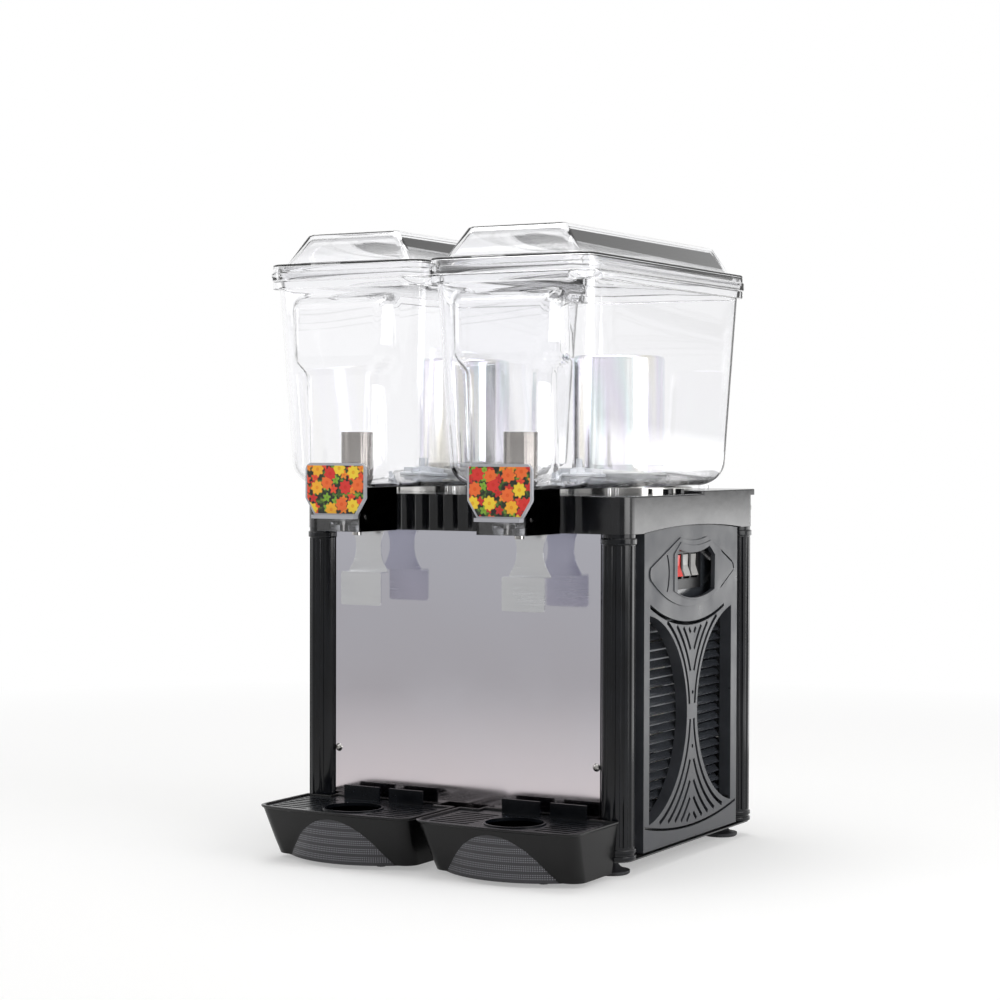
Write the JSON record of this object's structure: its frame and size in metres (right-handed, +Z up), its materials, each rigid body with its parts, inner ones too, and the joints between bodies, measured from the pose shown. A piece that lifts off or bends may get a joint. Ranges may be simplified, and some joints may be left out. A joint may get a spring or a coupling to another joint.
{
  "type": "juice dispenser",
  "caption": "Countertop cold drink dispenser with clear bowls side by side, push-paddle taps, drip trays and grille side covers.",
  "frame": {"origin": "on the counter under the middle of the whole object", "axes": "+Z up, +X to the user's right, -Y towards the user (taps and drip trays)"},
  "size_m": [0.411, 0.4661, 0.686],
  "materials": {
    "foot_plastic": "moulded",
    "pan_steel": "satin",
    "post_black": "gloss",
    "mirror_steel": "mirror polished",
    "rear_steel": "satin",
    "cover_black": "gloss",
    "louvre_black": "gloss",
    "deck_black": "gloss",
    "dish_steel": "polished",
    "evaporator_steel": "satin",
    "seal_rubber": "matt",
    "bowl_clear": "clear",
    "lid_clear": "clear",
    "impeller_dark": "moulded",
    "motor_metal": "satin",
    "magnet_core": "machined",
    "tap_steel": "polished",
    "lever_black": "gloss",
    "cover_print": "printed",
    "tray_black": "gloss",
    "grid_black": "gloss",
    "compressor_black": "gloss",
    "condenser_metal": "bare",
    "pipe_copper": "bare",
    "fan_plastic": "moulded",
    "switch_black": "moulded",
    "rocker_red": "gloss",
    "rocker_white": "gloss",
    "thermostat_grey": "moulded",
    "knob_grey": "satin",
    "inlet_black": "moulded",
    "screw_steel": "zinc plated"
  },
  "bodies": {
    "cabinet": {"feet": "foot_plastic", "base_pan": "pan_steel", "post_front_left": "post_black", "post_front_right": "post_black", "post_rear_left": "post_black", "post_rear_right": "post_black", "front_panel": "mirror_steel", "rear_panel": "rear_steel", "deck": "deck_black", "compressor": "compressor_black", "condenser": "condenser_metal", "refrigerant_pipes": "pipe_copper", "fan_motor": "motor_metal", "switch_housing": "switch_black", "thermostat": "thermostat_grey", "power_inlet": "inlet_black", "screws": "screw_steel", "side_cover_left": "cover_black", "side_louvre_left": "louvre_black", "cooler_base_left": "dish_steel", "evaporator_left": "evaporator_steel", "evaporator_seal_left": "seal_rubber", "stirrer_motor_left": "motor_metal", "side_cover_right": "cover_black", "side_louvre_right": "louvre_black", "cooler_base_right": "dish_steel", "evaporator_right": "evaporator_steel", "evaporator_seal_right": "seal_rubber", "stirrer_motor_right": "motor_metal"},
    "bowl_left": {"bowl_left": "bowl_clear", "spout_left": "tap_steel", "pivot_pin_left": "tap_steel", "tap_cover_left": "cover_print"},
    "lid_left": {"lid_left": "lid_clear"},
    "impeller_left": {"impeller_left": "impeller_dark"},
    "tap_lever_left": {"tap_lever_left": "lever_black", "paddle_left": "tap_steel"},
    "tap_piston_left": {"tap_piston_left": "tap_steel", "tap_seal_left": "seal_rubber"},
    "drive_magnet_left": {"drive_magnet_left": "magnet_core"},
    "drip_tray_left": {"drip_tray_left": "tray_black"},
    "drip_grid_left": {"drip_grid_left": "grid_black"},
    "bowl_right": {"bowl_right": "bowl_clear", "spout_right": "tap_steel", "pivot_pin_right": "tap_steel", "tap_cover_right": "cover_print"},
    "lid_right": {"lid_right": "lid_clear"},
    "impeller_right": {"impeller_right": "impeller_dark"},
    "tap_lever_right": {"tap_lever_right": "lever_black", "paddle_right": "tap_steel"},
    "tap_piston_right": {"tap_piston_right": "tap_steel", "tap_seal_right": "seal_rubber"},
    "drive_magnet_right": {"drive_magnet_right": "magnet_core"},
    "drip_tray_right": {"drip_tray_right": "tray_black"},
    "drip_grid_right": {"drip_grid_right": "grid_black"},
    "fan_blades": {"fan_blades": "fan_plastic"},
    "rocker_cooling": {"rocker_cooling": "rocker_red"},
    "rocker_mixer_left": {"rocker_mixer_left": "rocker_white"},
    "rocker_mixer_right": {"rocker_mixer_right": "rocker_white"},
    "thermostat_knob": {"thermostat_knob": "knob_grey"}
  },
  "joints": [
    {"name": "bowl_lift_left", "type": "slide", "parent": "cabinet", "child": "bowl_left", "axis": [0, 0, 1], "range_m": [0, 0.16]},
    {"name": "lid_lift_left", "type": "slide", "parent": "bowl_left", "child": "lid_left", "axis": [0, 0, 1], "range_m": [0, 0.08]},
    {"name": "impeller_spin_left", "type": "hinge", "parent": "bowl_left", "child": "impeller_left", "pos_m": [-0.1017, -0.032, 0.42], "axis": [0, 0, 1], "continuous": true},
    {"name": "magnet_spin_left", "type": "hinge", "parent": "cabinet", "child": "drive_magnet_left", "pos_m": [-0.1017, -0.032, 0.39], "axis": [0, 0, 1], "continuous": true},
    {"name": "tap_lever_swing_left", "type": "hinge", "parent": "bowl_left", "child": "tap_lever_left", "pos_m": [-0.1017, -0.203, 0.378], "axis": [1, 0, 0], "range_deg": [0, 10], "stiffness_Nm_per_rad": 0.4},
    {"name": "tap_piston_lift_left", "type": "slide", "parent": "bowl_left", "child": "tap_piston_left", "axis": [0, 0, 1], "range_m": [0, 0.006]},
    {"name": "drip_tray_slide_left", "type": "slide", "parent": "cabinet", "child": "drip_tray_left", "axis": [0, -1, 0], "range_m": [0, 0.12]},
    {"name": "drip_grid_lift_left", "type": "slide", "parent": "drip_tray_left", "child": "drip_grid_left", "axis": [0, 0, 1], "range_m": [0, 0.04]},
    {"name": "bowl_lift_right", "type": "slide", "parent": "cabinet", "child": "bowl_right", "axis": [0, 0, 1], "range_m": [0, 0.16]},
    {"name": "lid_lift_right", "type": "slide", "parent": "bowl_right", "child": "lid_right", "axis": [0, 0, 1], "range_m": [0, 0.08]},
    {"name": "impeller_spin_right", "type": "hinge", "parent": "bowl_right", "child": "impeller_right", "pos_m": [0.1017, -0.032, 0.42], "axis": [0, 0, 1], "continuous": true},
    {"name": "magnet_spin_right", "type": "hinge", "parent": "cabinet", "child": "drive_magnet_right", "pos_m": [0.1017, -0.032, 0.39], "axis": [0, 0, 1], "continuous": true},
    {"name": "tap_lever_swing_right", "type": "hinge", "parent": "bowl_right", "child": "tap_lever_right", "pos_m": [0.1017, -0.203, 0.378], "axis": [1, 0, 0], "range_deg": [0, 10], "stiffness_Nm_per_rad": 0.4},
    {"name": "tap_piston_lift_right", "type": "slide", "parent": "bowl_right", "child": "tap_piston_right", "axis": [0, 0, 1], "range_m": [0, 0.006]},
    {"name": "drip_tray_slide_right", "type": "slide", "parent": "cabinet", "child": "drip_tray_right", "axis": [0, -1, 0], "range_m": [0, 0.12]},
    {"name": "drip_grid_lift_right", "type": "slide", "parent": "drip_tray_right", "child": "drip_grid_right", "axis": [0, 0, 1], "range_m": [0, 0.04]},
    {"name": "fan_spin", "type": "hinge", "parent": "cabinet", "child": "fan_blades", "pos_m": [0.05, 0.068, 0.165], "axis": [1, 0, 0], "continuous": true},
    {"name": "rocker_cooling_rock", "type": "hinge", "parent": "cabinet", "child": "rocker_cooling", "pos_m": [0.183, 0.0338, 0.3215], "axis": [0, 1, 0], "range_deg": [0, 16]},
    {"name": "rocker_mixer_left_rock", "type": "hinge", "parent": "cabinet", "child": "rocker_mixer_left", "pos_m": [0.183, 0.054, 0.3215], "axis": [0, 1, 0], "range_deg": [0, 16]},
    {"name": "rocker_mixer_right_rock", "type": "hinge", "parent": "cabinet", "child": "rocker_mixer_right", "pos_m": [0.183, 0.0742, 0.3215], "axis": [0, 1, 0], "range_deg": [0, 16]},
    {"name": "thermostat_turn", "type": "hinge", "parent": "cabinet", "child": "thermostat_knob", "pos_m": [0.1815, 0.223, 0.383], "axis": [0, 1, 0], "range_deg": [0, 270]}
  ],
  "couplings": [
    {"joint": "impeller_spin_left", "follows": "magnet_spin_left", "ratio": 1},
    {"joint": "tap_piston_lift_left", "follows": "tap_lever_swing_left", "m_per_rad": 0.031},
    {"joint": "impeller_spin_right", "follows": "magnet_spin_right", "ratio": 1},
    {"joint": "tap_piston_lift_right", "follows": "tap_lever_swing_right", "m_per_rad": 0.031}
  ]
}
